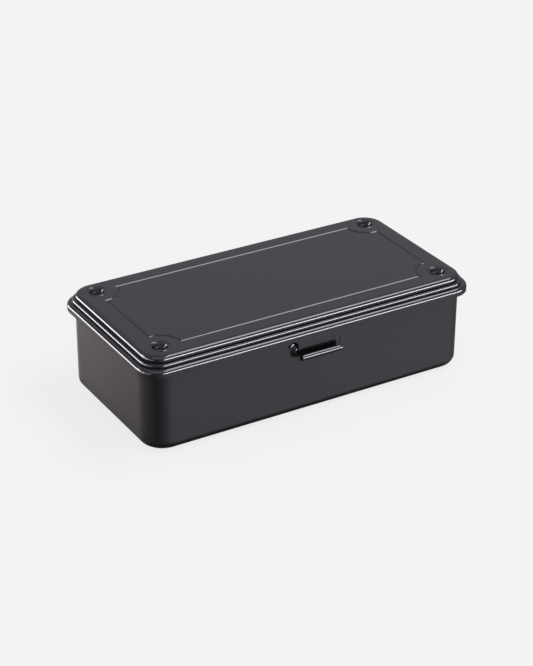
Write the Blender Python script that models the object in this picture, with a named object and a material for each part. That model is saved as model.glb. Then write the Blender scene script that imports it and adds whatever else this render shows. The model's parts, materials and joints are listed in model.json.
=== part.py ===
"""Pressed steel storage box with a hinged, stepped lid and a sprung front tab.

Metres, +Z up. The latch is on the -Y side and the two pin hinges are on the +Y side.
The box stands on z = 0, and the origin is at the centre of its whole footprint.
Every sheet piece is drawn as one surface of its sheet and then given its thickness.
"""
import math

import bmesh
import bpy
from mathutils import Vector
from mathutils.geometry import delaunay_2d_cdt

# Sheet and plan
SHEET = 0.0007
GAP = 0.0003
HALF_X = 0.09721          # flat top's half length, from which every offset is counted
HALF_Y = 0.046965
CORNER_STEPS = 6          # facets of each corner seen from above
RING_SIDES = 12           # facets of a pressed ring, a rolled edge or a rivet
BEND_STEPS = 4            # facets of an outer bend
COVE_STEPS = 2
CREASE_DEG = 35           # sharper edges than this stay sharp

# Lid: (outward offset, height of the shelf, outer bend radius) of its three steps
FOOT_HEIGHT = 0.0005
TOP_Z = 0.05565 + FOOT_HEIGHT
TIER_OFFSET = 0.00030
TIER_BEND = 0.0024
STEP_OFFSET = 0.00195
STEP_Z = 0.0522 + FOOT_HEIGHT
STEP_BEND = 0.0010
FLANGE_OFFSET = 0.00429
FLANGE_Z = 0.04997 + FOOT_HEIGHT
FLANGE_BEND = 0.0019
COVE = 0.0005
SKIRT_END_Z = 0.0456 + FOOT_HEIGHT
LID_CORNER = 0.0107
LID_CORNER_GROWTH = 0.44  # corner radius gained for each unit of outward offset

# Pressed details of the lid's top
DIMPLE_X = 0.0861
DIMPLE_Y = 0.0361
DIMPLE_RINGS = ((0.0060, 0.0), (0.0048, 0.0004), (0.0042, 0.0003), (0.0024, 0.0014))
DIMPLE_DEPTH = 0.0017
GROOVE_X = 0.0862
GROOVE_Y = 0.0363
GROOVE_NOTCH = 0.0120
GROOVE_HALF_WIDTH = 0.0009
GROOVE_DEPTH = 0.0006
NOTCH_STEPS = 8

# Front tab, with a rolled finger lip along its lower edge
TAB_HALF_WIDTH = 0.0123
TAB_ROOT_FILLET = 0.0037
TAB_BEND_Z = 0.03745 + FOOT_HEIGHT
TAB_BEND = 0.0013
LIP_REACH = 0.0030        # from the tab's outer face to the lip's centre line
LIP_INNER = 0.00095
ROLL_DEG = 290            # a rolled edge's turn, on the lip and on the leaves

# Tray
TRAY_OFFSET = 0.00128
TRAY_CORNER = 0.0136
TRAY_FILLET = 0.0052
RIM_BEAD = 0.000655       # inner radius of the rolled rim
RIM_START_DEG = 180
RIM_END_DEG = -40
RIM_STEPS = 8
RIM_Z = FLANGE_Z - SHEET - GAP
FOOT_RADIUS = 0.0040
FOOT_SPREAD = 0.0052
DETENT_Z = 0.0390 + FOOT_HEIGHT
DETENT_HALF_LENGTH = 0.0163
DETENT_HALF_HEIGHT = 0.0044
DETENT_HEIGHT = 0.0019
DETENT_CREST = 0.0014
DETENT_ROWS = (-1.0, -0.62, -0.3, 0.3, 0.62, 1.0)     # shares of its half height
DETENT_COLUMNS = (0.8, 0.5, 0.25)                     # shares of its round end

# Hinges
HINGE_X = 0.0520
HINGE_Y = 0.0514
HINGE_Z = 0.0426 + FOOT_HEIGHT
LEAF_HALF_WIDTH = 0.0140
CENTRE_KNUCKLE = 0.0050
SIDE_KNUCKLE = 0.0100
STOP_START = 0.0113
STOP_LENGTH = 0.00165
LEAF_BOTTOM_Z = 0.0300 + FOOT_HEIGHT
LEAF_TOP_Z = HINGE_Z + 0.0006
KNUCKLE_INNER = 0.00105
KNUCKLE_OUTER = KNUCKLE_INNER + SHEET
LID_ROLL_DEG = 230.0      # past the rearmost point of the knuckle
PIN_RADIUS = 0.00075
PIN_HEAD_RADIUS = 0.0013
PIN_HEAD = 0.0005
PIN_HEAD_CHAMFER = 0.7    # end radius as a share of the head's
PIN_SIDES = 16
RIVET_X = 0.0085
RIVET_Z = 0.0345 + FOOT_HEIGHT
RIVET_SHANK = 0.00125
RIVET_HEAD = 0.0023
RIVET_DOME = 0.0009
RIVET_TAIL = 0.0019
RIVET_TAIL_HEIGHT = 0.0005
RIVET_TAIL_CHAMFER = 0.85
RIVET_DOME_DEG = (75, 50, 25, 0)
CUTTER_REACH = 0.003

TRAY_WALL_Y = HALF_Y + TRAY_OFFSET
LEAF_FACE_Y = TRAY_WALL_Y + GAP + SHEET
FLANGE_Y = HALF_Y + FLANGE_OFFSET
FRONT_REACH = FLANGE_Y + LIP_REACH + LIP_INNER + SHEET
REAR_REACH = HINGE_Y + KNUCKLE_OUTER
BOX_Y = (FRONT_REACH - REAR_REACH) / 2    # centres the whole footprint on the origin

# Finishes: colour, roughness, metallic
COATING = ((0.020, 0.020, 0.023, 1.0), 0.38, 0.0)
ZINC = ((0.36, 0.36, 0.37, 1.0), 0.35, 1.0)


def clear_scene():
    for item in list(bpy.data.objects):
        bpy.data.objects.remove(item, do_unlink=True)


def make_material(name, finish):
    colour, roughness, metallic = finish
    material = bpy.data.materials.new(name)
    material.use_nodes = True
    shader = material.node_tree.nodes["Principled BSDF"]
    shader.inputs["Base Color"].default_value = colour
    shader.inputs["Roughness"].default_value = roughness
    shader.inputs["Metallic"].default_value = metallic
    material.diffuse_color = colour
    return material


# Outlines -------------------------------------------------------------------------

def arc(centre, radius, start, end, steps):
    """Points on an arc, in degrees, with both its ends."""
    points = []
    for index in range(steps + 1):
        angle = math.radians(start + (end - start) * index / steps)
        across = centre[0] + radius * math.cos(angle)
        up = centre[1] + radius * math.sin(angle)
        points.append((across, up))
    return points


def bend_path(start, heading, moves):
    """Follow a bent sheet in section: (length,) runs straight and (radius, degrees, steps)
    turns, to the left when the degrees are positive."""
    points = [start]
    for move in moves:
        here = Vector(points[-1])
        if len(move) == 1:
            angle = math.radians(heading)
            here += move[0] * Vector((math.cos(angle), math.sin(angle)))
            points.append(tuple(here))
            continue
        radius, turn, steps = move
        side = math.copysign(90.0, turn)
        towards = math.radians(heading + side)
        centre = here + radius * Vector((math.cos(towards), math.sin(towards)))
        first = heading - side
        points += arc(centre, radius, first, first + turn, steps)[1:]
        heading += turn
    return points


def perimeter_columns(front_stations, rear_stations):
    """Places round a rounded rectangle, anticlockwise from above: straight-side stations
    by their X, and corner places by corner and angle."""
    columns = [("front", x) for x in front_stations]
    corners = ((1, -1, -90), (1, 1, 0), (-1, 1, 90), (-1, -1, 180))
    for index, (side_x, side_y, first) in enumerate(corners):
        for step in range(CORNER_STEPS + 1):
            angle = math.radians(first + 90 * step / CORNER_STEPS)
            columns.append(("corner", side_x, side_y, angle))
        if index == 1:
            columns += [("rear", x) for x in reversed(rear_stations)]
    return columns


def place_column(column, offset, corner):
    """The plan position of a column on the outline at this outward offset."""
    half_x = HALF_X + offset
    half_y = HALF_Y + offset
    if column[0] == "front":
        return column[1], -half_y
    if column[0] == "rear":
        return column[1], half_y
    _, side_x, side_y, angle = column
    x = side_x * (half_x - corner) + corner * math.cos(angle)
    y = side_y * (half_y - corner) + corner * math.sin(angle)
    return x, y


# Sheets ---------------------------------------------------------------------------

def join_rows(mesh, rows, closed):
    """Quads between successive rows of vertices."""
    for upper, lower in zip(rows, rows[1:]):
        count = len(upper)
        for index in range(count if closed else count - 1):
            following = (index + 1) % count
            mesh.faces.new((upper[index], lower[index], lower[following], upper[following]))


def grow_strip(mesh, root, path):
    """Extend a row of vertices along a section path of (y, z) points."""
    rows = [root]
    for y, z in path:
        rows.append([mesh.verts.new((vertex.co.x, y, z)) for vertex in root])
    join_rows(mesh, rows, closed=False)
    return rows


def fill_flat(mesh, boundary, loops):
    """Triangulate inside a boundary row, with closed loops of pressed detail in it.
    Each loop is a list of (x, y, z) points. A loop of one point is a centre."""
    vertices = list(boundary)
    edges = [(index, (index + 1) % len(boundary)) for index in range(len(boundary))]
    for loop in loops:
        first = len(vertices)
        vertices += [mesh.verts.new(point) for point in loop]
        if len(loop) > 1:
            edges += [(first + k, first + (k + 1) % len(loop)) for k in range(len(loop))]
    plan = [Vector((vertex.co.x, vertex.co.y)) for vertex in vertices]
    _, _, faces, origins, _, _ = delaunay_2d_cdt(plan, edges, [], 0, 1e-7, True)
    for face in faces:
        mesh.faces.new([vertices[origins[corner][0]] for corner in face])


def ring(centre, radius, z, count):
    """A closed ring of points, anticlockwise from above."""
    points = arc(centre, radius, 0, 360, count)[:-1]
    return [(x, y, z) for x, y in points]


def groove_loop(inset, z):
    """The pressed line round the lid's panel, notched round each dimple."""
    half_x = GROOVE_X - inset
    half_y = GROOVE_Y - inset
    notch = GROOVE_NOTCH + inset
    points = []
    for side_x, side_y, turn in ((1, -1, 0), (1, 1, 90), (-1, 1, 180), (-1, -1, 270)):
        centre = (side_x * DIMPLE_X, side_y * DIMPLE_Y)
        reach_x = math.degrees(math.asin((half_x - DIMPLE_X) / notch))
        reach_y = math.degrees(math.asin((half_y - DIMPLE_Y) / notch))
        near = reach_y if turn in (0, 180) else reach_x
        far = reach_x if turn in (0, 180) else reach_y
        start = 180 + turn + near
        points += arc(centre, notch, start, 90 + turn - far, NOTCH_STEPS)
    return [(x, y, z) for x, y in points]


def finish_sheet(name, mesh, material, location, facing):
    """Turn the surface so that its first face looks towards facing, give the sheet its
    thickness behind that surface, and place it."""
    bmesh.ops.recalc_face_normals(mesh, faces=mesh.faces)
    mesh.faces.ensure_lookup_table()
    if mesh.faces[0].normal.dot(Vector(facing)) < 0:
        bmesh.ops.reverse_faces(mesh, faces=mesh.faces)
    item = add_object(name, mesh, material, location)
    thickness = item.modifiers.new("sheet", "SOLIDIFY")
    thickness.thickness = SHEET
    thickness.offset = -1.0
    thickness.use_even_offset = True
    thickness.use_quality_normals = True
    return item


def add_object(name, mesh, material, location=(0.0, 0.0, 0.0)):
    """An object whose vertices are moved so that its origin is at location."""
    bmesh.ops.translate(mesh, verts=mesh.verts, vec=-Vector(location))
    data = bpy.data.meshes.new(name)
    mesh.to_mesh(data)
    mesh.free()
    data.materials.append(material)
    data.shade_smooth()
    data.set_sharp_from_angle(angle=math.radians(CREASE_DEG))
    item = bpy.data.objects.new(name, data)
    bpy.context.scene.collection.objects.link(item)
    item.location = location
    return item


# Lid ------------------------------------------------------------------------------

def bend_down(offset, z, radius):
    """Section of the outer bend from a shelf at this height to a wall at this offset."""
    return arc((offset - radius, z - radius), radius, 90, 0, BEND_STEPS)


def cove(offset, z):
    """Section of the inner bend from a wall at this offset to a shelf at this height."""
    return arc((offset + COVE, z + COVE), COVE, 180, 270, COVE_STEPS)


def lid_profile():
    """(offset, z) from the edge of the flat top down to the skirt's lower edge."""
    points = bend_down(TIER_OFFSET, TOP_Z, TIER_BEND)
    points += cove(TIER_OFFSET, STEP_Z)
    points += bend_down(STEP_OFFSET, STEP_Z, STEP_BEND)[1:]
    points += cove(STEP_OFFSET, FLANGE_Z)
    points += bend_down(FLANGE_OFFSET, FLANGE_Z, FLANGE_BEND)
    points.append((FLANGE_OFFSET, SKIRT_END_Z))
    return points


def lid_corner(offset):
    return LID_CORNER + LID_CORNER_GROWTH * (offset - TIER_OFFSET)


def hinge_stations():
    """X of every edge of the lid's hinge knuckles and stops, on both hinges."""
    marks = (CENTRE_KNUCKLE + GAP, SIDE_KNUCKLE, STOP_START, LEAF_HALF_WIDTH)
    return sorted(hinge * HINGE_X + side * mark
                  for hinge in (-1, 1) for side in (-1, 1) for mark in marks)


def add_front_tab(mesh, root):
    """The latch tab: filleted root, flat face, and a lip rolled outwards and up."""
    widest = root[-1].co.x
    rows = [root]
    for step in range(1, BEND_STEPS + 1):
        angle = math.radians(90 * step / BEND_STEPS)
        narrow = TAB_ROOT_FILLET * math.sin(angle)
        drop = TAB_ROOT_FILLET * (1 - math.cos(angle))
        scale = (widest - narrow) / widest
        rows.append([mesh.verts.new((vertex.co.x * scale, -FLANGE_Y, SKIRT_END_Z - drop))
                     for vertex in root])
    join_rows(mesh, rows, closed=False)
    face_end = rows[-1][0].co.z
    start = (-FLANGE_Y, face_end)
    path = bend_path(start, -90, (
        (face_end - TAB_BEND_Z,),
        (TAB_BEND, -90, BEND_STEPS),
        (LIP_REACH - TAB_BEND,),
        (LIP_INNER, -ROLL_DEG, RING_SIDES),
    ))
    grow_strip(mesh, rows[-1], path[1:])


def add_lid_knuckles(mesh, by_x):
    """Two knuckles and two stop tongues below the rear skirt at each hinge."""
    reverse_bend = KNUCKLE_INNER - SHEET / 2
    across = FLANGE_Y + reverse_bend - HINGE_Y
    rise = math.sqrt((KNUCKLE_OUTER + reverse_bend) ** 2 - across ** 2)
    turn = 90 - math.degrees(math.atan2(across, rise))
    start = (FLANGE_Y, SKIRT_END_Z)
    neck = ((SKIRT_END_Z - HINGE_Z - rise,), (reverse_bend, turn, BEND_STEPS - 1))
    roll = neck + ((KNUCKLE_OUTER, -(turn + LID_ROLL_DEG), RING_SIDES),)
    stop = neck + ((KNUCKLE_OUTER, -turn, BEND_STEPS - 1), (STOP_LENGTH,))
    strips = ((roll, (CENTRE_KNUCKLE + GAP, SIDE_KNUCKLE)),
              (stop, (STOP_START, LEAF_HALF_WIDTH)))
    for hinge in (-1, 1):
        for side in (-1, 1):
            for moves, ends in strips:
                root = [by_x[hinge * HINGE_X + side * mark] for mark in ends]
                grow_strip(mesh, root, bend_path(start, -90, moves)[1:])


def dimple_loops():
    """Rings of the four pressed dimples, each with its centre point."""
    loops = []
    for side_x in (-1, 1):
        for side_y in (-1, 1):
            centre = (side_x * DIMPLE_X, side_y * DIMPLE_Y)
            for radius, depth in DIMPLE_RINGS:
                loops.append(ring(centre, radius, TOP_Z - depth, RING_SIDES))
            loops.append([(centre[0], centre[1], TOP_Z - DIMPLE_DEPTH)])
    return loops


def make_lid(material):
    mesh = bmesh.new()
    root_half = TAB_HALF_WIDTH + TAB_ROOT_FILLET
    front = [root_half * step / 2 for step in (-2, -1, 0, 1, 2)]
    rear = hinge_stations()
    columns = perimeter_columns(front, rear)
    rows = []
    for offset, z in lid_profile():
        corner = lid_corner(offset)
        places = [place_column(column, offset, corner) for column in columns]
        rows.append([mesh.verts.new((x, y, z)) for x, y in places])
    join_rows(mesh, rows, closed=True)
    loops = [groove_loop(-GROOVE_HALF_WIDTH, TOP_Z), groove_loop(0.0, TOP_Z - GROOVE_DEPTH),
             groove_loop(GROOVE_HALF_WIDTH, TOP_Z)]
    fill_flat(mesh, rows[0], loops + dimple_loops())
    skirt = rows[-1]
    add_front_tab(mesh, skirt[:len(front)])
    by_x = {x: vertex for x in rear for vertex in skirt
            if vertex.co.y > 0 and abs(vertex.co.x - x) < 1e-7}
    add_lid_knuckles(mesh, by_x)
    return finish_sheet("lid", mesh, material, (0.0, HINGE_Y, HINGE_Z), (0, 0, 1))


# Tray -----------------------------------------------------------------------------

def detent_height(x, z):
    """How far the pressed latch detent stands out of the tray's front wall."""
    along = max(abs(x) - (DETENT_HALF_LENGTH - DETENT_HALF_HEIGHT), 0.0)
    distance = math.hypot(along, z - DETENT_Z)
    share = (DETENT_HALF_HEIGHT - distance) / (DETENT_HALF_HEIGHT - DETENT_CREST)
    share = min(max(share, 0.0), 1.0)
    return DETENT_HEIGHT * share * share * (3 - 2 * share)


def tray_profile():
    """(offset, z) from the edge of the flat bottom up the wall and round the rim bead."""
    centre = (TRAY_OFFSET - TRAY_FILLET, FOOT_HEIGHT + TRAY_FILLET)
    points = arc(centre, TRAY_FILLET, 270, 360, BEND_STEPS)
    for share in DETENT_ROWS:
        points.append((TRAY_OFFSET, DETENT_Z + share * DETENT_HALF_HEIGHT))
    bead_z = RIM_Z - SHEET - RIM_BEAD
    bead = (TRAY_OFFSET + RIM_BEAD, bead_z)
    points += arc(bead, RIM_BEAD, RIM_START_DEG, RIM_END_DEG, RIM_STEPS)
    return points


def make_rivet_cutter():
    """Clearance holes for the rivets, through the tray's rear wall and both leaves."""
    mesh = bmesh.new()
    for x in [hinge * HINGE_X + side * RIVET_X for hinge in (-1, 1) for side in (-1, 1)]:
        outline = arc((x, RIVET_Z), RIVET_SHANK + GAP, 0, 360, RING_SIDES)[:-1]
        ends = [[mesh.verts.new((px, y, pz)) for px, pz in outline]
                for y in (TRAY_WALL_Y - CUTTER_REACH, TRAY_WALL_Y + CUTTER_REACH)]
        join_rows(mesh, ends, closed=True)
        mesh.faces.new(ends[0])
        mesh.faces.new(ends[1])
    bmesh.ops.recalc_face_normals(mesh, faces=mesh.faces)
    data = bpy.data.meshes.new("rivet_hole_cutter")
    mesh.to_mesh(data)
    mesh.free()
    cutter = bpy.data.objects.new("rivet_hole_cutter", data)
    bpy.context.scene.collection.objects.link(cutter)
    cutter.hide_render = True
    cutter.display_type = "WIRE"
    return cutter


def drill(item, cutter):
    cut = item.modifiers.new("rivet_holes", "BOOLEAN")
    cut.operation = "DIFFERENCE"
    cut.solver = "EXACT"
    cut.object = cutter


def make_tray(material):
    mesh = bmesh.new()
    round_end = DETENT_HALF_LENGTH - DETENT_HALF_HEIGHT
    marks = [DETENT_HALF_LENGTH]
    marks += [round_end + share * DETENT_HALF_HEIGHT for share in DETENT_COLUMNS]
    front = sorted([-mark for mark in marks] + marks + [0.0])
    columns = perimeter_columns(front, [])
    rows = []
    for offset, z in tray_profile():
        corner = TRAY_CORNER + offset - TRAY_OFFSET
        row = []
        for column in columns:
            x, y = place_column(column, offset, corner)
            if column[0] == "front":
                y -= detent_height(x, z)
            row.append(mesh.verts.new((x, y, z)))
        rows.append(row)
    join_rows(mesh, rows, closed=True)
    loops = []
    for side_x in (-1, 1):
        for side_y in (-1, 1):
            centre = (side_x * DIMPLE_X, side_y * DIMPLE_Y)
            loops.append(ring(centre, FOOT_SPREAD, FOOT_HEIGHT, RING_SIDES))
            loops.append(ring(centre, FOOT_RADIUS, 0.0, RING_SIDES))
    fill_flat(mesh, rows[0], loops)
    return finish_sheet("tray", mesh, material, (0.0, 0.0, 0.0), (0, 0, -1))


# Hinges ---------------------------------------------------------------------------

def make_leaf(name, hinge, material):
    """The leaf riveted to the tray: a plate whose middle strip is rolled round the pin."""
    mesh = bmesh.new()
    edges = (-LEAF_HALF_WIDTH, -CENTRE_KNUCKLE - GAP, -CENTRE_KNUCKLE,
             CENTRE_KNUCKLE, CENTRE_KNUCKLE + GAP, LEAF_HALF_WIDTH)
    jog = HINGE_Y - KNUCKLE_INNER - LEAF_FACE_Y
    inner = KNUCKLE_INNER - SHEET / 2
    outer = inner + SHEET
    turn = math.degrees(math.acos(1 - jog / (inner + outer)))
    slit_z = HINGE_Z - (inner + outer) * math.sin(math.radians(turn))
    root = [mesh.verts.new((hinge + x, LEAF_FACE_Y, LEAF_BOTTOM_Z)) for x in edges]
    rows = grow_strip(mesh, root, [(LEAF_FACE_Y, slit_z)])
    for pair in (rows[-1][:2], rows[-1][-2:]):
        grow_strip(mesh, pair, [(LEAF_FACE_Y, LEAF_TOP_Z)])
    path = bend_path((LEAF_FACE_Y, slit_z), 90, (
        (inner, -turn, BEND_STEPS - 1),
        (outer, turn, BEND_STEPS - 1),
        (KNUCKLE_INNER, -ROLL_DEG, RING_SIDES),
    ))
    grow_strip(mesh, rows[-1][2:4], path[1:])
    return finish_sheet(name, mesh, material, (hinge, LEAF_FACE_Y, LEAF_BOTTOM_Z), (0, 1, 0))


def make_turned(name, profile, centre, axis, material, sides):
    """A solid turned about the X or Y axis, from (distance along, radius) points."""
    mesh = bmesh.new()
    rows = []
    for along, radius in profile:
        circle = arc((0.0, 0.0), radius, 0, 360, sides)[:-1]
        if axis == "X":
            rows.append([mesh.verts.new((along, a, b)) for a, b in circle])
        else:
            rows.append([mesh.verts.new((a, along, b)) for a, b in circle])
    join_rows(mesh, rows, closed=True)
    mesh.faces.new(rows[0])
    mesh.faces.new(rows[-1])
    bmesh.ops.recalc_face_normals(mesh, faces=mesh.faces)
    bmesh.ops.translate(mesh, verts=mesh.verts, vec=centre)
    return add_object(name, mesh, material, centre)


def make_pin(name, hinge, material):
    """A wire pin, upset at both ends so that it can't leave its knuckles."""
    inner_end = SIDE_KNUCKLE + GAP
    outer_end = inner_end + PIN_HEAD
    head = ((inner_end, PIN_RADIUS), (inner_end, PIN_HEAD_RADIUS),
            (outer_end - PIN_HEAD / 2, PIN_HEAD_RADIUS),
            (outer_end, PIN_HEAD_RADIUS * PIN_HEAD_CHAMFER))
    other = tuple((-along, radius) for along, radius in reversed(head))
    centre = (hinge, HINGE_Y, HINGE_Z)
    return make_turned(name, other + head, centre, "X", material, PIN_SIDES)


def make_rivet(name, x, material):
    """Domed head outside the leaf, shank through leaf and wall, flat tail inside."""
    seat = LEAF_FACE_Y + GAP - TRAY_WALL_Y
    tail = -SHEET - GAP
    dome = [(seat + RIVET_DOME * math.sin(math.radians(angle)),
             RIVET_HEAD * math.cos(math.radians(angle))) for angle in RIVET_DOME_DEG]
    profile = dome + [(seat, RIVET_SHANK), (tail, RIVET_SHANK), (tail, RIVET_TAIL),
                      (tail - RIVET_TAIL_HEIGHT, RIVET_TAIL * RIVET_TAIL_CHAMFER)]
    return make_turned(name, profile, (x, TRAY_WALL_Y, RIVET_Z), "Y", material, RING_SIDES)


# Assembly -------------------------------------------------------------------------

def make_frame():
    """The box's own frame, and the hinge axis that carries the lid."""
    box = bpy.data.objects.new("box_frame", None)
    axis = bpy.data.objects.new("hinge_axis", None)
    for empty in (box, axis):
        bpy.context.scene.collection.objects.link(empty)
    box.location = (0.0, BOX_Y, 0.0)
    axis.parent = box
    axis.location = (0.0, HINGE_Y, HINGE_Z)
    return box, axis


def main():
    clear_scene()
    coating = make_material("black_coating", COATING)
    zinc = make_material("zinc_plate", ZINC)
    box, axis = make_frame()
    lid = make_lid(coating)
    lid.parent = axis
    lid.location = (0.0, 0.0, 0.0)
    cutter = make_rivet_cutter()
    tray = make_tray(coating)
    drill(tray, cutter)
    fixed = [tray]
    for side, label in ((-1, "left"), (1, "right")):
        leaf = make_leaf("hinge_leaf_" + label, side * HINGE_X, coating)
        drill(leaf, cutter)
        fixed += [leaf, make_pin("hinge_pin_" + label, side * HINGE_X, zinc)]
        for end, shift in (("outer", RIVET_X), ("inner", -RIVET_X)):
            name = "hinge_rivet_" + label + "_" + end
            fixed.append(make_rivet(name, side * (HINGE_X + shift), coating))
    for item in fixed + [cutter]:
        item.parent = box


main()
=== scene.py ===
import json
import math

import bmesh
import bpy
from mathutils import Matrix, Vector
from mathutils.geometry import delaunay_2d_cdt


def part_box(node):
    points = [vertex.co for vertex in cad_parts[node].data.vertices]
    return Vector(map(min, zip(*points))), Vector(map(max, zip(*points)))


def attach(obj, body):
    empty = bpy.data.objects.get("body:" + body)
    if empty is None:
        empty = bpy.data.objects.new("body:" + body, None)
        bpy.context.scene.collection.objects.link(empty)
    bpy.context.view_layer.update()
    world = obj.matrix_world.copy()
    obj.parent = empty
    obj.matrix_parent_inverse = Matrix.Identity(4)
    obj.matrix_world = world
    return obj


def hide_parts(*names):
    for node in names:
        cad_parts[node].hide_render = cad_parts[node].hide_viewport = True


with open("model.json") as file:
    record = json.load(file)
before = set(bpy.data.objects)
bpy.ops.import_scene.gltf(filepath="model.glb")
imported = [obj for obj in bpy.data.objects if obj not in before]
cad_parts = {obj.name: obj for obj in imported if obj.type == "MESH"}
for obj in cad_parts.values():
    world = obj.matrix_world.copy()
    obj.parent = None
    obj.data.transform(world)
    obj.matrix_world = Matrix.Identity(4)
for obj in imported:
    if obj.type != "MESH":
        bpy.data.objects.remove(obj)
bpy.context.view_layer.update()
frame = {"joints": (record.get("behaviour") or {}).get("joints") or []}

# The fine surfaces, coating and studio of a pressed steel box with a hinged lid.
# Metres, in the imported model's frame: +Z up, latch towards -Y, hinges towards +Y.

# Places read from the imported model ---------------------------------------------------

TRAY_LOW, TRAY_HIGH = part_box("tray")
LID_LOW, LID_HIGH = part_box("lid")
HINGE_AXIS = Vector(frame["joints"][0]["pos_m"])
BOX_Y = (TRAY_LOW.y + TRAY_HIGH.y) / 2
TOP_Z = LID_HIGH.z

# Sheet and plan ----------------------------------------------------------------------

SHEET = 0.0007
GAP = 0.0003
FLANGE_OFFSET = 0.00429
HALF_X = LID_HIGH.x - FLANGE_OFFSET
HALF_Y_SHORTFALL = 0.050245
HALF_Y = HALF_X - HALF_Y_SHORTFALL

# Fineness of the surfaces, and where they count as having an edge
CORNER_STEPS = 28
BEND_STEPS = 14
CROWN_STEPS = 6
CROWN_BEND_STEPS = 16
NOTCH_STEPS = 24
GROOVE_ROWS = 6
RING_SIDES = 40
ROLL_STEPS = 32
NECK_STEPS = 8
SHARP_DEG = 38.0
RIM_DEG = 87.0
RIM_ROUND = 0.00016
RIM_SEGMENTS = 2
LEAF_ROUND = 0.00012
PLAN_TOLERANCE = 1e-7
SAME_PLACE = 1e-6

# Lid steps: outward offset of each wall, height of each shelf at its root, and outer
# bends as a radius or as (radius, slope at the bend's end in degrees)
TIER_OFFSET = 0.00030
TIER_CROWN = 0.0050
TIER_CROWN_DEG = 20.0
TIER_BEND = 0.0022
STEP_OFFSET = 0.00193
STEP_Z = TOP_Z - 0.00352
STEP_BENDS = ((0.00035, 55.0), (0.0017, 90.0))
FLANGE_Z = TOP_Z - 0.00568
FLANGE_BENDS = ((0.0021, 90.0),)
SHELF_SLOPE_DEG = 6.0
SKIRT_END_Z = TOP_Z - 0.01005
FLAT_MARGIN = 0.0005
LID_CORNER = 0.0106
LID_CORNER_GROWTH = 0.44

# Pressed details of the lid's top
DIMPLE_X = 0.0861
DIMPLE_Y = 0.0361
DIMPLE_RIM = 0.0060          # outer edge of the ring groove round the bowl
DIMPLE_RING = 0.0054         # middle of that groove
DIMPLE_RING_DEPTH = 0.0003
DIMPLE_BOWL = 0.0044
DIMPLE_FLOOR = 0.0029
DIMPLE_DEPTH = 0.0021
DIMPLE_SOFTNESS = 0.25
DIMPLE_ROWS = 45
GROOVE_X = 0.0862
GROOVE_Y = 0.0363
GROOVE_NOTCH = 0.0120
GROOVE_HALF_WIDTH = 0.0009
GROOVE_DEPTH = 0.00050

# Front tab with its rolled lip, and the roll that hinge leaves share with it
ROLL_DEG = 290.0
TAB_COLUMNS = 6
TAB_FILLET_STEPS = 12
TAB_BEND_STEPS = 10
TAB_HALF_WIDTH = 0.0123
TAB_ROOT_FILLET = 0.0037
TAB_BEND_Z = TOP_Z - 0.0182
TAB_BEND = 0.0013
LIP_REACH = 0.0030
LIP_INNER = 0.00095

# Tray
TRAY_OFFSET = 0.00128
TRAY_CORNER = 0.0136
TRAY_FILLET = 0.0052
RIM_BEAD = 0.000655
RIM_Z = TRAY_HIGH.z
RIM_START_DEG = 180.0
RIM_END_DEG = -40.0
RIM_STEPS = 20
TRAY_FILLET_STEPS = 16
WALL_ROWS = 5
FOOT_HEIGHT = 0.0005
FOOT_STEPS = 6
FOOT_RADIUS = 0.0040
FOOT_SPREAD = 0.0054
DETENT_Z = TOP_Z - 0.01665
DETENT_HALF_LENGTH = 0.0163
DETENT_HALF_HEIGHT = 0.0044
DETENT_HEIGHT = 0.0019
DETENT_CREST = 0.0012
DETENT_ROWS = 24
DETENT_COLUMNS = 40

# Hinges
HINGE_X = abs(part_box("hinge_pin_left")[0].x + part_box("hinge_pin_left")[1].x) / 2
HINGE_Y = HINGE_AXIS.y - BOX_Y
HINGE_Z = HINGE_AXIS.z
LEAF_LOW, LEAF_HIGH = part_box("hinge_leaf_right")
LEAF_HALF_WIDTH = (LEAF_HIGH.x - LEAF_LOW.x) / 2
CENTRE_KNUCKLE = 0.0050
SIDE_KNUCKLE = 0.0100
STOP_START = 0.0113
STOP_LENGTH = 0.00165
LEAF_TOP_Z = HINGE_Z + 0.0006
KNUCKLE_INNER = 0.00105
KNUCKLE_OUTER = KNUCKLE_INNER + SHEET
LID_ROLL_DEG = 230.0
PIN_RADIUS = 0.00075
PIN_HEAD_RADIUS = 0.0013
PIN_HEAD = 0.0005
RIVET_X = 0.0085
RIVET_Z = HINGE_Z - 0.0081
RIVET_SHANK = 0.00125
RIVET_HEAD = 0.0023
RIVET_DOME = 0.0009
RIVET_TAIL = 0.0019
RIVET_TAIL_HEIGHT = 0.0005
RIVET_TAIL_CHAMFER = ((0.6, 0.97), (1.0, 0.82))
RIVET_DOME_DEG = range(84, -1, -7)
PIN_HEAD_DEG = range(-90, 91, 15)

# Finishes
COAT_COLOUR = (0.0055, 0.0053, 0.0063, 1.0)
COAT_HAZE = (0.0080, 0.0078, 0.0086, 1.0)
COAT_ROUGHNESS = 0.11
COAT_HAZE_ROUGHNESS = 0.15
COAT_HAZE_RANGE = (0.35, 0.7)
COAT_PEEL = 0.000002
COAT_GRAIN = 0.0000004
ZINC_COLOUR = (0.52, 0.52, 0.53, 1.0)
ZINC_DULL = (0.36, 0.37, 0.39, 1.0)
ZINC_DULL_RANGE = (0.3, 0.7)
ZINC_DRAWN = 0.000006
ZINC_ROUGHNESS = (0.25, 0.42)
DRAWN_STRETCH = 0.06

# Features of each noise to the metre
HAZE_SCALE = 22.0
SPECK_SCALE = 2600.0
PEEL_SCALE = 620.0
GRAIN_SCALE = 5200.0
DULL_SCALE = 700.0
DRAWN_SCALE = 9000.0

TRAY_WALL_Y = HALF_Y + TRAY_OFFSET
LEAF_FACE_Y = TRAY_WALL_Y + GAP + SHEET
FLANGE_Y = HALF_Y + FLANGE_OFFSET


# Outlines ----------------------------------------------------------------------------

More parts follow.
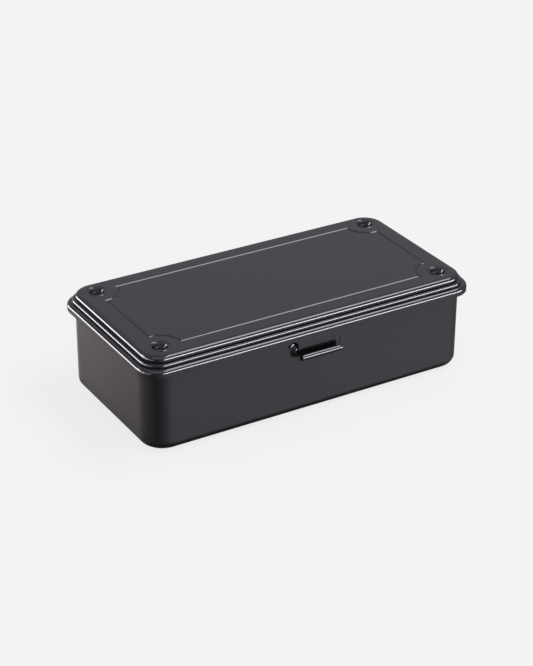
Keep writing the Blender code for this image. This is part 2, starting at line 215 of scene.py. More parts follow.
def arc(centre, radius, start, end, steps):
    """Points on an arc, in degrees, with both its ends."""
    points = []
    for index in range(steps + 1):
        angle = math.radians(start + (end - start) * index / steps)
        points.append((centre[0] + radius * math.cos(angle), centre[1] + radius * math.sin(angle)))
    return points


def bend_path(start, heading, moves):
    """Follow a bent sheet in section: (length,) runs straight and (radius, degrees, steps)
    turns, to the left when the degrees are positive."""
    points = [start]
    for move in moves:
        here = Vector(points[-1])
        if len(move) == 1:
            angle = math.radians(heading)
            here += move[0] * Vector((math.cos(angle), math.sin(angle)))
            points.append(tuple(here))
            continue
        radius, turn, steps = move
        side = math.copysign(90.0, turn)
        towards = math.radians(heading + side)
        centre = here + radius * Vector((math.cos(towards), math.sin(towards)))
        first = heading - side
        points += arc(centre, radius, first, first + turn, steps)[1:]
        heading += turn
    return points


def perimeter_columns(front_stations, rear_stations):
    """Places round a rounded rectangle, anticlockwise from above."""
    columns = [("front", x) for x in front_stations]
    corners = ((1, -1, -90), (1, 1, 0), (-1, 1, 90), (-1, -1, 180))
    for index, (side_x, side_y, first) in enumerate(corners):
        for step in range(CORNER_STEPS + 1):
            angle = math.radians(first + 90 * step / CORNER_STEPS)
            columns.append(("corner", side_x, side_y, angle))
        if index == 1:
            columns += [("rear", x) for x in reversed(rear_stations)]
    return columns


def place_column(column, offset, corner):
    """The plan position of a column on the outline at this outward offset."""
    half_x = HALF_X + offset
    half_y = HALF_Y + offset
    if column[0] == "front":
        return column[1], -half_y
    if column[0] == "rear":
        return column[1], half_y
    _, side_x, side_y, angle = column
    x = side_x * (half_x - corner) + corner * math.cos(angle)
    y = side_y * (half_y - corner) + corner * math.sin(angle)
    return x, y


# Sheets ------------------------------------------------------------------------------

def join_rows(mesh, rows, closed):
    """Quads between successive rows of vertices."""
    for upper, lower in zip(rows, rows[1:]):
        count = len(upper)
        for index in range(count if closed else count - 1):
            following = (index + 1) % count
            mesh.faces.new((upper[index], lower[index], lower[following], upper[following]))


def grow_strip(mesh, root, path):
    """Extend a row of vertices along a section path of (y, z) points."""
    rows = [root]
    for y, z in path:
        rows.append([mesh.verts.new((vertex.co.x, y, z)) for vertex in root])
    join_rows(mesh, rows, closed=False)
    return rows


def fill_flat(mesh, boundary, loops, loose):
    """Triangulate inside a boundary row, with closed loops and loose points in it."""
    vertices = list(boundary)
    edges = [(index, (index + 1) % len(boundary)) for index in range(len(boundary))]
    for loop in loops:
        first = len(vertices)
        vertices += [mesh.verts.new(point) for point in loop]
        edges += [(first + k, first + (k + 1) % len(loop)) for k in range(len(loop))]
    vertices += [mesh.verts.new(point) for point in loose]
    plan = [Vector((vertex.co.x, vertex.co.y)) for vertex in vertices]
    _, _, faces, origins, _, _ = delaunay_2d_cdt(plan, edges, [], 0, PLAN_TOLERANCE, True)
    for face in faces:
        mesh.faces.new([vertices[origins[corner][0]] for corner in face])


def ring(centre, radius, z):
    """A level circle of points."""
    points = arc(centre, radius, 0, 360, RING_SIDES)[:-1]
    return [(x, y, z) for x, y in points]


def ease(share):
    """A smooth rise from 0 to 1."""
    share = min(max(share, 0.0), 1.0)
    return share * share * (3 - 2 * share)


def groove_loop(inset, z):
    """The pressed line round the lid's panel, notched round each dimple."""
    half_x = GROOVE_X - inset
    half_y = GROOVE_Y - inset
    notch = GROOVE_NOTCH + inset
    points = []
    for side_x, side_y, turn in ((1, -1, 0), (1, 1, 90), (-1, 1, 180), (-1, -1, 270)):
        centre = (side_x * DIMPLE_X, side_y * DIMPLE_Y)
        reach_x = math.degrees(math.asin((half_x - DIMPLE_X) / notch))
        reach_y = math.degrees(math.asin((half_y - DIMPLE_Y) / notch))
        near = reach_y if turn in (0, 180) else reach_x
        far = reach_x if turn in (0, 180) else reach_y
        start = 180 + turn + near
        points += arc(centre, notch, start, 90 + turn - far, NOTCH_STEPS)
    return [(x, y, z) for x, y in points]


def face_outwards(mesh, facing):
    """Turn the faces of a sheet over, if need be, so that its first one looks this way."""
    bmesh.ops.recalc_face_normals(mesh, faces=mesh.faces)
    mesh.faces.ensure_lookup_table()
    if mesh.faces[0].normal.dot(Vector(facing)) < 0:
        bmesh.ops.reverse_faces(mesh, faces=mesh.faces)


def freeze(item):
    """Replace an object's mesh by what its modifiers make of it, smooth but for its edges."""
    bpy.context.view_layer.update()
    graph = bpy.context.evaluated_depsgraph_get()
    final = bpy.data.meshes.new_from_object(item.evaluated_get(graph))
    item.modifiers.clear()
    item.data = final
    final.name = item.name
    final.shade_smooth()
    final.set_sharp_from_angle(angle=math.radians(SHARP_DEG))
    return item


def add_piece(name, mesh, material, body, node, offset=(0.0, 0.0, 0.0)):
    """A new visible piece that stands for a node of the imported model."""
    bmesh.ops.translate(mesh, verts=mesh.verts, vec=Vector((0, BOX_Y, 0)) + Vector(offset))
    data = bpy.data.meshes.new(name)
    mesh.to_mesh(data)
    mesh.free()
    item = bpy.data.objects.new(name, data)
    bpy.context.scene.collection.objects.link(item)
    item.data.materials.append(material)
    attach(item, body)
    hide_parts(node)
    return item


def add_sheet_modifiers(item, edge=RIM_ROUND):
    """Give a surface the sheet's thickness, inwards, and round the sheet's cut edges."""
    thickness = item.modifiers.new("sheet", "SOLIDIFY")
    thickness.thickness = SHEET
    thickness.offset = -1.0
    thickness.use_even_offset = True
    thickness.use_quality_normals = True
    rounding = item.modifiers.new("edge", "BEVEL")
    rounding.width = edge
    rounding.segments = RIM_SEGMENTS
    rounding.limit_method = "ANGLE"
    rounding.angle_limit = math.radians(RIM_DEG)
    return item


# Lid ---------------------------------------------------------------------------------

def add_shelf(points, offset, z, bends):
    """Section of a shelf that slopes away from the wall before it and bends down, with
    bends as (radius, slope at its end in degrees)."""
    slope = SHELF_SLOPE_DEG
    reach = 0.0
    moves = []
    for radius, end in bends:
        reach += radius * (math.sin(math.radians(end)) - math.sin(math.radians(slope)))
        moves.append((radius, slope - end, BEND_STEPS))
        slope = end
    inner = points[-1][0]
    run = (offset - inner - reach) / math.cos(math.radians(SHELF_SLOPE_DEG))
    points += bend_path((inner, z), -SHELF_SLOPE_DEG, [(run,)] + moves)


def lid_profile():
    """(offset, z) from inside the edge of the flat top down to the skirt's lower edge."""
    crown = math.sin(math.radians(TIER_CROWN_DEG))
    start = TIER_OFFSET - TIER_CROWN * crown - TIER_BEND * (1 - crown)
    points = [(start - FLAT_MARGIN, TOP_Z)]
    points += bend_path((start, TOP_Z), 0, (
        (TIER_CROWN, -TIER_CROWN_DEG, CROWN_STEPS),
        (TIER_BEND, TIER_CROWN_DEG - 90, CROWN_BEND_STEPS)))
    add_shelf(points, STEP_OFFSET, STEP_Z, STEP_BENDS)
    add_shelf(points, FLANGE_OFFSET, FLANGE_Z, FLANGE_BENDS)
    points.append((FLANGE_OFFSET, points[-1][1] - FLAT_MARGIN))
    points.append((FLANGE_OFFSET, SKIRT_END_Z + FLAT_MARGIN))
    points.append((FLANGE_OFFSET, SKIRT_END_Z))
    return points


def lid_corner(offset):
    """The plan radius of the lid's corners at this outward offset."""
    return LID_CORNER + LID_CORNER_GROWTH * (offset - TIER_OFFSET)


def ramp(share, softness):
    """A straight rise from 0 to 1 whose two ends are rounded over this share of its length."""
    share = min(max(share, 0.0), 1.0)
    if share > 0.5:
        return 1.0 - ramp(1.0 - share, softness)
    rise = share * share / (2 * softness) if share < softness else share - softness / 2
    return rise / (1 - softness)


def dimple_drop(distance):
    """Depth below the top at this distance from a dimple's centre: a ring, then the bowl."""
    across = min(abs(distance - DIMPLE_RING) / (DIMPLE_RIM - DIMPLE_RING), 1.0)
    ring_drop = DIMPLE_RING_DEPTH * 0.5 * (1 + math.cos(math.pi * across))
    share = (DIMPLE_BOWL - distance) / (DIMPLE_BOWL - DIMPLE_FLOOR)
    return ring_drop + DIMPLE_DEPTH * ramp(share, DIMPLE_SOFTNESS)


def hinge_stations():
    """X of every edge of the lid's hinge knuckles and stops, on both hinges."""
    marks = (CENTRE_KNUCKLE + GAP, SIDE_KNUCKLE, STOP_START, LEAF_HALF_WIDTH)
    return sorted(hinge * HINGE_X + side * mark
                  for hinge in (-1, 1) for side in (-1, 1) for mark in marks)


def add_front_tab(mesh, root):
    """The latch tab: filleted root, flat face, and a lip rolled outwards and up."""
    widest = root[-1].co.x
    rows = [root]
    for step in range(1, TAB_FILLET_STEPS + 1):
        angle = math.radians(90 * step / TAB_FILLET_STEPS)
        narrow = TAB_ROOT_FILLET * math.sin(angle)
        drop = TAB_ROOT_FILLET * (1 - math.cos(angle))
        scale = (widest - narrow) / widest
        rows.append([mesh.verts.new((vertex.co.x * scale, -FLANGE_Y, SKIRT_END_Z - drop))
                     for vertex in root])
    join_rows(mesh, rows, closed=False)
    face_end = rows[-1][0].co.z
    path = bend_path((-FLANGE_Y, face_end), -90, (
        (face_end - TAB_BEND_Z,),
        (TAB_BEND, -90, TAB_BEND_STEPS),
        (LIP_REACH - TAB_BEND,),
        (LIP_INNER, -ROLL_DEG, ROLL_STEPS),
    ))
    grow_strip(mesh, rows[-1], path[1:])


def add_lid_knuckles(mesh, by_x):
    """Two knuckles and two stop tongues below the rear skirt at each hinge."""
    reverse_bend = KNUCKLE_INNER - SHEET / 2
    across = FLANGE_Y + reverse_bend - HINGE_Y
    rise = math.sqrt((KNUCKLE_OUTER + reverse_bend) ** 2 - across ** 2)
    turn = 90 - math.degrees(math.atan2(across, rise))
    neck = ((SKIRT_END_Z - HINGE_Z - rise,), (reverse_bend, turn, NECK_STEPS))
    roll = neck + ((KNUCKLE_OUTER, -(turn + LID_ROLL_DEG), ROLL_STEPS),)
    stop = neck + ((KNUCKLE_OUTER, -turn, NECK_STEPS), (STOP_LENGTH,))
    for hinge in (-1, 1):
        for side in (-1, 1):
            for path, ends in ((roll, (CENTRE_KNUCKLE + GAP, SIDE_KNUCKLE)),
                               (stop, (STOP_START, LEAF_HALF_WIDTH))):
                root = [by_x[hinge * HINGE_X + side * mark] for mark in ends]
                points = bend_path((FLANGE_Y, SKIRT_END_Z), -90, path)
                grow_strip(mesh, root, points[1:])


def top_details():
    """Loops and loose points of the grooved panel and the four dimples."""
    loops = [groove_loop(side * (GROOVE_HALF_WIDTH + FLAT_MARGIN), TOP_Z) for side in (-1, 1)]
    for step in range(-GROOVE_ROWS, GROOVE_ROWS + 1):
        share = step / GROOVE_ROWS
        depth = GROOVE_DEPTH * 0.5 * (1 + math.cos(math.pi * share))
        loops.append(groove_loop(GROOVE_HALF_WIDTH * share, TOP_Z - depth))
    for side_x in (-1, 1):
        for side_y in (-1, 1):
            centre = (side_x * DIMPLE_X, side_y * DIMPLE_Y)
            loops.append(ring(centre, DIMPLE_RIM + FLAT_MARGIN, TOP_Z))
            for step in range(1, DIMPLE_ROWS + 1):
                radius = DIMPLE_RIM * step / DIMPLE_ROWS
                loops.append(ring(centre, radius, TOP_Z - dimple_drop(radius)))
    loose = [(side_x * DIMPLE_X, side_y * DIMPLE_Y, TOP_Z - dimple_drop(0))
             for side_x in (-1, 1) for side_y in (-1, 1)]
    return loops, loose


def make_lid(material):
    """The lid's one pressed sheet, tab and knuckles included."""
    mesh = bmesh.new()
    root_half = TAB_HALF_WIDTH + TAB_ROOT_FILLET
    front = [root_half * step / TAB_COLUMNS for step in range(-TAB_COLUMNS, TAB_COLUMNS + 1)]
    rear = hinge_stations()
    columns = perimeter_columns(front, rear)
    rows = []
    for offset, z in lid_profile():
        places = [place_column(column, offset, lid_corner(offset)) for column in columns]
        rows.append([mesh.verts.new((x, y, z)) for x, y in places])
    join_rows(mesh, rows, closed=True)
    loops, loose = top_details()
    fill_flat(mesh, rows[0], loops, loose)
    skirt = rows[-1]
    add_front_tab(mesh, skirt[:len(front)])
    by_x = {x: vertex for x in rear for vertex in skirt
            if vertex.co.y > 0 and abs(vertex.co.x - x) < SAME_PLACE}
    add_lid_knuckles(mesh, by_x)
    face_outwards(mesh, (0, 0, 1))
    return freeze(add_sheet_modifiers(
        add_piece("lid_shell", mesh, material, "lid", "lid")))


# Tray --------------------------------------------------------------------------------

def detent_height(x, z):
    """How far the pressed latch detent stands out of the tray's front wall."""
    along = max(abs(x) - (DETENT_HALF_LENGTH - DETENT_HALF_HEIGHT), 0.0)
    distance = math.hypot(along, z - DETENT_Z)
    share = (DETENT_HALF_HEIGHT - distance) / (DETENT_HALF_HEIGHT - DETENT_CREST)
    return DETENT_HEIGHT * ease(share)


def tray_profile():
    """(offset, z) from the edge of the flat bottom up the wall and round the rim bead."""
    centre = (TRAY_OFFSET - TRAY_FILLET, FOOT_HEIGHT + TRAY_FILLET)
    points = [(centre[0] - FLAT_MARGIN, FOOT_HEIGHT)]
    points += arc(centre, TRAY_FILLET, 270, 360, TRAY_FILLET_STEPS)
    low = points[-1][1]
    first = DETENT_Z - DETENT_HALF_HEIGHT
    for step in range(1, WALL_ROWS):
        points.append((TRAY_OFFSET, low + (first - low) * step / WALL_ROWS))
    for step in range(DETENT_ROWS + 1):
        points.append((TRAY_OFFSET, first + 2 * DETENT_HALF_HEIGHT * step / DETENT_ROWS))
    bead_z = RIM_Z - SHEET - RIM_BEAD
    bead = (TRAY_OFFSET + RIM_BEAD, bead_z)
    points += arc(bead, RIM_BEAD, RIM_START_DEG, RIM_END_DEG, RIM_STEPS)
    return points


def make_tray(material):
    """The tray's one drawn sheet, with its detent, feet and rolled rim."""
    mesh = bmesh.new()
    front = [DETENT_HALF_LENGTH * step / DETENT_COLUMNS
             for step in range(-DETENT_COLUMNS, DETENT_COLUMNS + 1)]
    columns = perimeter_columns(front, [])
    rows = []
    for offset, z in tray_profile():
        row = []
        for column in columns:
            x, y = place_column(column, offset, TRAY_CORNER + offset - TRAY_OFFSET)
            if column[0] == "front":
                y -= detent_height(x, z)
            row.append(mesh.verts.new((x, y, z)))
        rows.append(row)
    join_rows(mesh, rows, closed=True)
    loops = []
    for side_x in (-1, 1):
        for side_y in (-1, 1):
            centre = (side_x * DIMPLE_X, side_y * DIMPLE_Y)
            loops.append(ring(centre, FOOT_SPREAD + FLAT_MARGIN, FOOT_HEIGHT))
            for step in range(FOOT_STEPS + 1):
                share = step / FOOT_STEPS
                radius = FOOT_SPREAD + (FOOT_RADIUS - FOOT_SPREAD) * share
                loops.append(ring(centre, radius, FOOT_HEIGHT * (1 - ease(share))))
    fill_flat(mesh, rows[0], loops, [])
    face_outwards(mesh, (0, 0, -1))
    return freeze(add_sheet_modifiers(
        add_piece("tray_shell", mesh, material, "box", "tray")))


# Hinges ------------------------------------------------------------------------------

def make_leaf(label, hinge, material):
    """The leaf riveted to the tray: a plate whose middle strip is rolled round the pin."""
    mesh = bmesh.new()
    edges = (-LEAF_HALF_WIDTH, -CENTRE_KNUCKLE - GAP, -CENTRE_KNUCKLE,
             CENTRE_KNUCKLE, CENTRE_KNUCKLE + GAP, LEAF_HALF_WIDTH)
    jog = HINGE_Y - KNUCKLE_INNER - LEAF_FACE_Y
    inner = KNUCKLE_INNER - SHEET / 2
    outer = inner + SHEET
    turn = math.degrees(math.acos(1 - jog / (inner + outer)))
    slit_z = HINGE_Z - (inner + outer) * math.sin(math.radians(turn))
    root = [mesh.verts.new((hinge + x, LEAF_FACE_Y, LEAF_LOW.z)) for x in edges]
    rows = grow_strip(mesh, root, [(LEAF_FACE_Y, slit_z)])
    for pair in (rows[-1][:2], rows[-1][-2:]):
        grow_strip(mesh, pair, [(LEAF_FACE_Y, LEAF_TOP_Z)])
    path = bend_path((LEAF_FACE_Y, slit_z), 90, (
        (inner, -turn, NECK_STEPS),
        (outer, turn, NECK_STEPS),
        (KNUCKLE_INNER, -ROLL_DEG, ROLL_STEPS),
    ))
    grow_strip(mesh, rows[-1][2:4], path[1:])
    face_outwards(mesh, (0, 1, 0))
    node = "hinge_leaf_" + label
    item = add_piece(node + "_plate", mesh, material, "box", node)
    return freeze(add_sheet_modifiers(item, LEAF_ROUND))


def make_turned(name, profile, centre, axis, material, node):
    """A solid turned about the X or Y axis, from (distance along, radius) points."""
    mesh = bmesh.new()
    rows = []
    for along, radius in profile:
        circle = arc((0.0, 0.0), radius, 0, 360, RING_SIDES)[:-1]
        if axis == "X":
            rows.append([mesh.verts.new((along, a, b)) for a, b in circle])
        else:
            rows.append([mesh.verts.new((a, along, b)) for a, b in circle])
    join_rows(mesh, rows, closed=True)
    mesh.faces.new(rows[0])
    mesh.faces.new(rows[-1])
    bmesh.ops.recalc_face_normals(mesh, faces=mesh.faces)
    return freeze(add_piece(name, mesh, material, "box", node, centre))


def make_pin(label, hinge, material):
    """A wire pin, upset at both ends so that it can't leave its knuckles."""
    inner_end = SIDE_KNUCKLE + GAP
    half = PIN_HEAD / 2
    head = [(inner_end + half + half * math.sin(math.radians(angle)),
             PIN_HEAD_RADIUS - half + half * math.cos(math.radians(angle)))
            for angle in PIN_HEAD_DEG]
    profile = [(-x, r) for x, r in reversed(head)] + [(-inner_end, PIN_RADIUS)]
    profile += [(inner_end, PIN_RADIUS)] + head
    return make_turned("hinge_pin_" + label + "_wire", profile, (hinge, HINGE_Y, HINGE_Z),
                       "X", material, "hinge_pin_" + label)


def make_rivet(node, x, material):
    """Domed head outside the leaf, shank through leaf and wall, flat tail inside."""
    seat = LEAF_FACE_Y + GAP - TRAY_WALL_Y
    tail = -SHEET - GAP
    dome = [(seat + RIVET_DOME * math.sin(math.radians(angle)),
             RIVET_HEAD * math.cos(math.radians(angle))) for angle in RIVET_DOME_DEG]
    profile = dome + [(seat, RIVET_SHANK), (tail, RIVET_SHANK), (tail, RIVET_TAIL)]
    profile += [(tail - RIVET_TAIL_HEIGHT * depth, RIVET_TAIL * width)
                for depth, width in RIVET_TAIL_CHAMFER]
    return make_turned(node + "_head", profile, (x, TRAY_WALL_Y, RIVET_Z), "Y", material,
                       node)


# Materials ---------------------------------------------------------------------------

def new_material(name):
    """A node material: its tree, its shader and the piece's own coordinates."""
    material = bpy.data.materials.new(name)
    material.use_nodes = True
    tree = material.node_tree
    place = tree.nodes.new("ShaderNodeTexCoord").outputs["Object"]
    return material, tree, tree.nodes["Principled BSDF"], place


def add_noise(tree, place, per_metre, detail=2.0):
    """Cloudy variation with this many features to the metre."""
    noise = tree.nodes.new("ShaderNodeTexNoise")
    noise.inputs["Scale"].default_value = per_metre
    noise.inputs["Detail"].default_value = detail
    tree.links.new(place, noise.inputs["Vector"])
    return noise.outputs["Fac"]


def add_range(tree, value, low, high, new_low, new_high):
    """Map a value from one range to another, held at both ends."""
    node = tree.nodes.new("ShaderNodeMapRange")
    for key, number in zip(("From Min", "From Max", "To Min", "To Max"),
                           (low, high, new_low, new_high)):
        node.inputs[key].default_value = number
    tree.links.new(value, node.inputs["Value"])
    return node.outputs["Result"]


def find_socket(sockets, name, kind):
    """The socket of this name and kind, on a node that has one set for each kind."""
    return [entry for entry in sockets if entry.name == name and entry.type == kind][0]


def add_blend(tree, share, first, second):
    """Mix two colours by a share from 0 to 1."""
    node = tree.nodes.new("ShaderNodeMix")
    node.data_type = "RGBA"
    for key, colour in (("A", first), ("B", second)):
        find_socket(node.inputs, key, "RGBA").default_value = colour
    tree.links.new(share, find_socket(node.inputs, "Factor", "VALUE"))
    return find_socket(node.outputs, "Result", "RGBA")


def add_math(tree, operation, first, second=0.0):
    """One operation on two values, each a number or a socket."""
    node = tree.nodes.new("ShaderNodeMath")
    node.operation = operation
    for socket, value in zip(node.inputs, (first, second)):
        if isinstance(value, float):
            socket.default_value = value
        else:
            tree.links.new(value, socket)
    return node.outputs["Value"]


def add_bump(tree, height, depth, below=None):
    """Turn a height from 0 to 1 into relief this many metres deep."""
    node = tree.nodes.new("ShaderNodeBump")
    node.inputs["Distance"].default_value = depth
    tree.links.new(height, node.inputs["Height"])
    if below is not None:
        tree.links.new(below, node.inputs["Normal"])
    return node.outputs["Normal"]


def coating_material():
    """Stoved black enamel on steel: glossy, with faint orange peel and handling haze."""
    material, tree, shader, place = new_material("black_coating")
    link = tree.links.new
    haze = add_noise(tree, place, HAZE_SCALE, 3.0)
    haze = add_range(tree, haze, *COAT_HAZE_RANGE, 0.0, 1.0)
    speck = add_noise(tree, place, SPECK_SCALE, 1.0)
    tint = add_math(tree, "MULTIPLY", haze, speck)
    link(add_blend(tree, tint, COAT_COLOUR, COAT_HAZE), shader.inputs["Base Color"])
    link(add_range(tree, haze, 0.0, 1.0, COAT_ROUGHNESS, COAT_HAZE_ROUGHNESS),
         shader.inputs["Roughness"])
    relief = add_bump(tree, add_noise(tree, place, PEEL_SCALE), COAT_PEEL)
    link(add_bump(tree, add_noise(tree, place, GRAIN_SCALE, 1.0), COAT_GRAIN, relief),
         shader.inputs["Normal"])
    return material


def zinc_material():
    """Plated steel wire, drawn lengthwise and slightly dulled."""
    material, tree, shader, place = new_material("zinc_plate")
    link = tree.links.new
    stretch = tree.nodes.new("ShaderNodeMapping")
    stretch.inputs["Scale"].default_value = (DRAWN_STRETCH, 1.0, 1.0)
    link(place, stretch.inputs["Vector"])
    dull = add_noise(tree, place, DULL_SCALE)
    link(add_blend(tree, dull, ZINC_COLOUR, ZINC_DULL), shader.inputs["Base Color"])
    link(add_range(tree, dull, *ZINC_DULL_RANGE, *ZINC_ROUGHNESS), shader.inputs["Roughness"])
    drawn = add_noise(tree, stretch.outputs["Vector"], DRAWN_SCALE)
    link(add_bump(tree, drawn, ZINC_DRAWN), shader.inputs["Normal"])
    shader.inputs["Metallic"].default_value = 1.0
    return material


# Studio ------------------------------------------------------------------------------

CAMERA_AZIMUTH = math.radians(-30.87)
CAMERA_ELEVATION = math.radians(27.898)
CAMERA_ROLL = math.radians(0.218)
CAMERA_DISTANCE = 1.040
CAMERA_LENS = 102.1
CAMERA_TARGET = Vector((-0.001395, BOX_Y, 0.024185 + FOOT_HEIGHT))

SENSOR_WIDTH = 36.0
CLIP_START = 0.01

BACKDROP = 0.892
FLOOR_HALF = 6.0
FLOOR_WHITE = 0.85
FLOOR_GLOW = 0.89
FLOOR_PLAIN = 0.9

# The room mirrored in the enamel. A direction's height is its z, from -1 to 1, and its
# reach is how far it leans along the sheens' azimuth.
SHEEN_AZIMUTH = math.radians(31.0)
SHEEN_REACH = 0.88
SHEEN_POWER = 3.0
SHEEN_BASE = 0.20
SHEEN_FRONT = 0.80
SHEEN_REAR = (0.12, 0.68)
SHEEN_REAR_HEIGHT = (-0.53, -0.44)
TABLE_NEAR_HEIGHT = (-0.85, -0.6)
TABLE_NEAR = 0.3
HORIZON = (-0.05, 0.1)
WARM_HEIGHT = (-0.3, 0.0)
SHEEN_WARM = (1.05, 0.97, 0.94, 1.0)
ROOM_COOL = (0.975, 0.955, 1.05, 1.0)
ROOM_LOW = 0.25
ROOM_HIGH = 0.69
ROOM_HEIGHT = 0.6

# The lamp that lights the matt surfaces
KEY_AZIMUTH_DEG = 65.0
KEY_ELEVATION_DEG = 60.0
KEY_WIDTH = 2.4
KEY_HEIGHT = 1.0
KEY_RADIANCE = 8.0
KEY_DISTANCE = 3.0

# Soft boxes seen only as reflections: azimuth from -Y towards +X, elevation, half width
# and half height in degrees, and radiance
SOFT_BOXES = (
    (31.0, 0.0, 31.7, 7.6, 27.0),
    (-125.0, -3.0, 35.0, 8.1, 15.0),
    (-75.0, -3.0, 15.0, 8.1, 5.0),
    (-125.0, 15.0, 9.0, 9.0, 12.0),
    (KEY_AZIMUTH_DEG, KEY_ELEVATION_DEG, 45.0, 9.5, KEY_RADIANCE),
    (-30.0, 60.0, 50.0, 9.5, 1.5),
)
SOFT_BOX_EDGE = 0.01
FIRST_REFLECTION = 1.5


def make_camera():
    """The camera, level but for a small roll, aimed at the box."""
    back = Vector((math.sin(CAMERA_AZIMUTH) * math.cos(CAMERA_ELEVATION),
                   -math.cos(CAMERA_AZIMUTH) * math.cos(CAMERA_ELEVATION),
                   math.sin(CAMERA_ELEVATION)))
    data = bpy.data.cameras.new("camera")
    data.lens = CAMERA_LENS
    data.sensor_width = SENSOR_WIDTH
    data.clip_start = CLIP_START
    camera = bpy.data.objects.new("camera", data)
    bpy.context.scene.collection.objects.link(camera)
    camera.location = CAMERA_TARGET + CAMERA_DISTANCE * back
    turn = back.to_track_quat("Z", "Y").to_matrix().to_4x4()
    camera.rotation_euler = (turn @ Matrix.Rotation(CAMERA_ROLL, 4, "Z")).to_euler()
    bpy.context.scene.camera = camera


def aim_along(tree, x, y, azimuth):
    """How far a direction leans towards this azimuth."""
    return add_math(tree, "ADD", add_math(tree, "MULTIPLY", x, math.sin(azimuth)),
                    add_math(tree, "MULTIPLY", y, -math.cos(azimuth)))


def soft_box(tree, axes, azimuth, elevation, half_width, half_height, radiance):
    """The light of one soft box in a direction, and none outside it."""
    x, y, z = axes
    lean = aim_along(tree, x, y, math.radians(azimuth))
    level = add_math(tree, "SQRT", add_math(tree, "SUBTRACT", 1.0,
                                            add_math(tree, "MULTIPLY", z, z)))
    edge = math.cos(math.radians(half_width))
    across = add_range(tree, add_math(tree, "DIVIDE", lean, level),
                       edge - SOFT_BOX_EDGE, edge, 0.0, 1.0)
    low = math.sin(math.radians(elevation - half_height))
    high = math.sin(math.radians(elevation + half_height))
    above = add_range(tree, z, low - SOFT_BOX_EDGE, low, 0.0, radiance)
    below = add_range(tree, z, high, high + SOFT_BOX_EDGE, 1.0, 0.0)
    return add_math(tree, "MULTIPLY", across, add_math(tree, "MULTIPLY", above, below))


def soft_box_light(tree, axes):
    """All the soft boxes, left out of reflections of reflections, which would fill the
    lid's steps."""
    light = None
    for box in SOFT_BOXES:
        one = soft_box(tree, axes, *box)
        light = one if light is None else add_math(tree, "ADD", light, one)
    path = tree.nodes.new("ShaderNodeLightPath")
    first = add_math(tree, "LESS_THAN", path.outputs["Glossy Depth"], FIRST_REFLECTION)
    seen = add_math(tree, "MULTIPLY", path.outputs["Is Glossy Ray"], first)
    return add_math(tree, "MULTIPLY", light, seen)


def room_light(tree, axes):
    """What the enamel mirrors: a grey room above, and a table with two sheens below."""
    x, y, z = axes
    across = aim_along(tree, x, y, SHEEN_AZIMUTH)
    ahead = add_math(tree, "POWER", add_range(tree, across, 0.0, SHEEN_REACH, 0.0, 1.0),
                     SHEEN_POWER)
    behind = add_range(tree, across, 0.0, -SHEEN_REACH, 0.0, 1.0)
    rear = add_math(tree, "MULTIPLY", behind,
                    add_range(tree, z, *SHEEN_REAR_HEIGHT, *SHEEN_REAR))
    table = add_math(tree, "ADD", add_math(tree, "MULTIPLY", ahead, SHEEN_FRONT), rear)
    table = add_math(tree, "ADD", table, SHEEN_BASE)
    near = add_range(tree, z, *TABLE_NEAR_HEIGHT, TABLE_NEAR, 1.0)
    table = add_math(tree, "MULTIPLY", table, near)
    room = add_range(tree, z, 0.0, ROOM_HEIGHT, ROOM_LOW, ROOM_HIGH)
    above = add_range(tree, z, *HORIZON, 0.0, 1.0)
    below = add_math(tree, "SUBTRACT", 1.0, above)
    light = add_math(tree, "ADD", add_math(tree, "MULTIPLY", room, above),
                     add_math(tree, "MULTIPLY", table, below))
    warmth = add_math(tree, "MULTIPLY", behind, add_range(tree, z, *WARM_HEIGHT, 1.0, 0.0))
    return light, add_blend(tree, warmth, ROOM_COOL, SHEEN_WARM)


def make_world():
    """The room and the soft boxes for reflections; the camera sees an even backdrop."""
    world = bpy.data.worlds.new("studio")
    world.use_nodes = True
    tree = world.node_tree
    link = tree.links.new
    room = tree.nodes["Background"]
    place = tree.nodes.new("ShaderNodeTexCoord").outputs["Generated"]
    split = tree.nodes.new("ShaderNodeSeparateXYZ")
    link(place, split.inputs[0])
    light, colour = room_light(tree, split.outputs)
    boxes = soft_box_light(tree, split.outputs)
    link(add_math(tree, "ADD", light, boxes), room.inputs["Strength"])
    link(colour, room.inputs["Color"])
    backdrop = tree.nodes.new("ShaderNodeBackground")
    backdrop.inputs["Strength"].default_value = BACKDROP
    mixer = tree.nodes.new("ShaderNodeMixShader")
    link(tree.nodes.new("ShaderNodeLightPath").outputs["Is Camera Ray"], mixer.inputs["Fac"])
    link(room.outputs[0], mixer.inputs[1])
    link(backdrop.outputs[0], mixer.inputs[2])
    link(mixer.outputs[0], tree.nodes["World Output"].inputs["Surface"])
    world.cycles.sampling_method = "NONE"
    bpy.context.scene.world = world


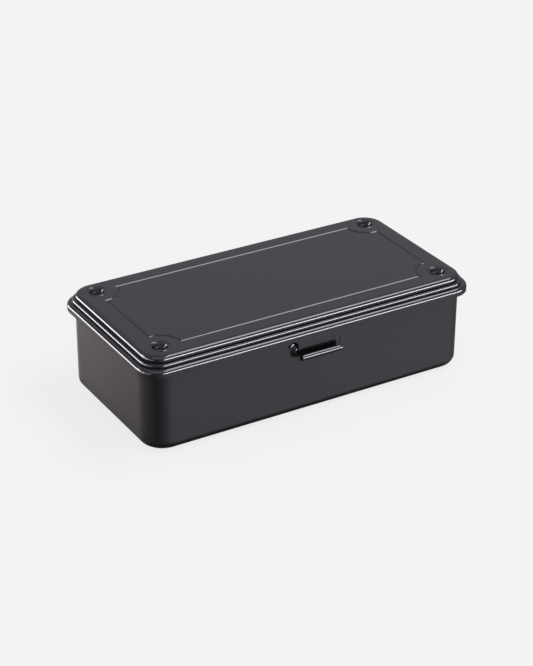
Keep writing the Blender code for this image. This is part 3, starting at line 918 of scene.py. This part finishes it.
def floor_material():
    """Matt white with only a trace of shadow for the camera, and open from below."""
    material = bpy.data.materials.new("floor")
    material.use_nodes = True
    nodes = material.node_tree.nodes
    link = material.node_tree.links.new
    lit = nodes["Principled BSDF"]
    lit.inputs["Base Color"].default_value = (FLOOR_WHITE, FLOOR_WHITE, FLOOR_WHITE, 1)
    lit.inputs["Roughness"].default_value = 1.0
    lit.inputs["Specular IOR Level"].default_value = 0.0
    plain = nodes.new("ShaderNodeEmission")
    plain.inputs["Strength"].default_value = FLOOR_GLOW
    cover = nodes.new("ShaderNodeMixShader")
    share = nodes.new("ShaderNodeMath")
    share.operation = "MULTIPLY"
    share.inputs[1].default_value = FLOOR_PLAIN
    link(nodes.new("ShaderNodeLightPath").outputs["Is Camera Ray"], share.inputs[0])
    link(share.outputs[0], cover.inputs["Fac"])
    link(lit.outputs[0], cover.inputs[1])
    link(plain.outputs[0], cover.inputs[2])
    below = nodes.new("ShaderNodeMixShader")
    link(nodes.new("ShaderNodeNewGeometry").outputs["Backfacing"], below.inputs["Fac"])
    link(cover.outputs[0], below.inputs[1])
    link(nodes.new("ShaderNodeBsdfTransparent").outputs[0], below.inputs[2])
    link(below.outputs[0], nodes["Material Output"].inputs["Surface"])
    return material


def make_floor():
    """A wide plain floor that isn't mirrored in the enamel and casts no shadow itself."""
    data = bpy.data.meshes.new("floor")
    corners = [(x * FLOOR_HALF, y * FLOOR_HALF, 0)
               for x, y in ((-1, -1), (1, -1), (1, 1), (-1, 1))]
    data.from_pydata(corners, [], [(0, 1, 2, 3)])
    floor = bpy.data.objects.new("floor", data)
    bpy.context.scene.collection.objects.link(floor)
    data.materials.append(floor_material())
    floor.visible_glossy = False
    floor.visible_shadow = False


def add_key():
    """The soft box that lights the matt surfaces; its reflection is one of SOFT_BOXES."""
    data = bpy.data.lights.new("key", "AREA")
    data.shape = "RECTANGLE"
    data.size = KEY_WIDTH
    data.size_y = KEY_HEIGHT
    data.energy = KEY_RADIANCE * math.pi * KEY_WIDTH * KEY_HEIGHT
    light = bpy.data.objects.new("key", data)
    bpy.context.scene.collection.objects.link(light)
    azimuth = math.radians(KEY_AZIMUTH_DEG)
    elevation = math.radians(KEY_ELEVATION_DEG)
    aim = Vector((math.cos(elevation) * math.sin(azimuth),
                  -math.cos(elevation) * math.cos(azimuth), math.sin(elevation)))
    light.location = Vector((0, BOX_Y, TOP_Z)) + aim * KEY_DISTANCE
    light.rotation_euler = aim.to_track_quat("Z", "Y").to_euler()
    light.visible_camera = False
    light.visible_glossy = False


def main():
    coating = coating_material()
    zinc = zinc_material()
    make_lid(coating)
    make_tray(coating)
    for side, label in ((-1, "left"), (1, "right")):
        make_leaf(label, side * HINGE_X, coating)
        make_pin(label, side * HINGE_X, zinc)
        make_rivet("hinge_rivet_" + label + "_outer", side * (HINGE_X + RIVET_X), coating)
        make_rivet("hinge_rivet_" + label + "_inner", side * (HINGE_X - RIVET_X), coating)
    make_camera()
    make_world()
    make_floor()
    add_key()
    bpy.context.scene.view_settings.view_transform = "Standard"


main()
